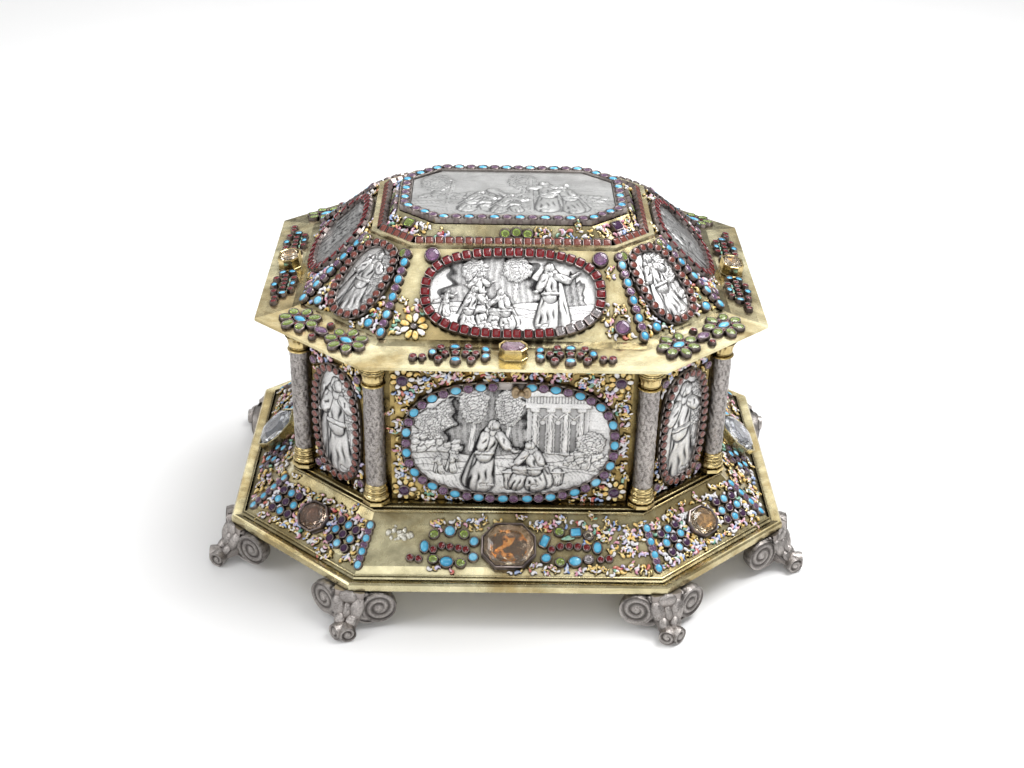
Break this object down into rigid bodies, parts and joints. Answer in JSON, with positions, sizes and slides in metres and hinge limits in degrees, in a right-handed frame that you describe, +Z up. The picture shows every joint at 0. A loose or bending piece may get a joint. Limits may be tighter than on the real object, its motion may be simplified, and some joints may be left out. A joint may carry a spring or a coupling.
{
  "type": "reliquary casket",
  "caption": "Octagonal metal casket on scroll feet with a stepped plinth, corner columns, oval relief plaques, gem settings and a hipped lift-off lid.",
  "frame": {"origin": "bottom centre of the footprint, on the surface that the feet stand on", "axes": "+X to the right of the front, -Y towards the viewer of the front, +Z up"},
  "size_m": [0.4398, 0.3754, 0.2555],
  "materials": {
    "silver_gilt": "polished greenish gold with dark tarnish in its grooves",
    "pale_silver": "cast silver relief with darkened ground",
    "oxidised_silver": "dark oxidised silver with bright edges",
    "amber_stone": "faceted amber-brown stone",
    "grey_crystal": "faceted grey rock crystal",
    "smoky_stone": "faceted smoky brown stone",
    "pale_stone": "step-cut pale pink stone in a gilt collet"
  },
  "bodies": {
    "root": {"base_plinth": "silver_gilt", "box_body": "silver_gilt", "box_cornice": "silver_gilt", "brim_setting_front": "pale_stone", "brim_setting_left": "pale_stone", "brim_setting_rear": "pale_stone", "brim_setting_right": "pale_stone", "corner_column_1": "oxidised_silver", "corner_column_2": "oxidised_silver", "corner_column_3": "oxidised_silver", "corner_column_4": "oxidised_silver", "corner_column_5": "oxidised_silver", "corner_column_6": "oxidised_silver", "corner_column_7": "oxidised_silver", "corner_column_8": "oxidised_silver", "front_bow_clasp": "silver_gilt", "lid_plaque_front": "pale_silver", "lid_plaque_front_left": "pale_silver", "lid_plaque_front_right": "pale_silver", "lid_plaque_left": "pale_silver", "lid_plaque_rear": "pale_silver", "lid_plaque_rear_left": "pale_silver", "lid_plaque_rear_right": "pale_silver", "lid_plaque_right": "pale_silver", "lid_shell": "silver_gilt", "lid_top_plaque": "pale_silver", "plinth_collet_front": "oxidised_silver", "plinth_collet_front_left": "oxidised_silver", "plinth_collet_front_right": "oxidised_silver", "plinth_collet_left": "oxidised_silver", "plinth_collet_rear": "oxidised_silver", "plinth_collet_rear_left": "oxidised_silver", "plinth_collet_rear_right": "oxidised_silver", "plinth_collet_right": "oxidised_silver", "plinth_stone_front": "amber_stone", "plinth_stone_front_left": "smoky_stone", "plinth_stone_front_right": "smoky_stone", "plinth_stone_left": "grey_crystal", "plinth_stone_rear": "amber_stone", "plinth_stone_rear_left": "smoky_stone", "plinth_stone_rear_right": "smoky_stone", "plinth_stone_right": "grey_crystal", "scroll_foot_1": "oxidised_silver", "scroll_foot_2": "oxidised_silver", "scroll_foot_3": "oxidised_silver", "scroll_foot_4": "oxidised_silver", "scroll_foot_5": "oxidised_silver", "scroll_foot_6": "oxidised_silver", "scroll_foot_7": "oxidised_silver", "scroll_foot_8": "oxidised_silver", "wall_plaque_front": "pale_silver", "wall_plaque_front_left": "pale_silver", "wall_plaque_front_right": "pale_silver", "wall_plaque_left": "pale_silver", "wall_plaque_rear": "pale_silver", "wall_plaque_rear_left": "pale_silver", "wall_plaque_rear_right": "pale_silver", "wall_plaque_right": "pale_silver"}
  },
  "joints": []
}
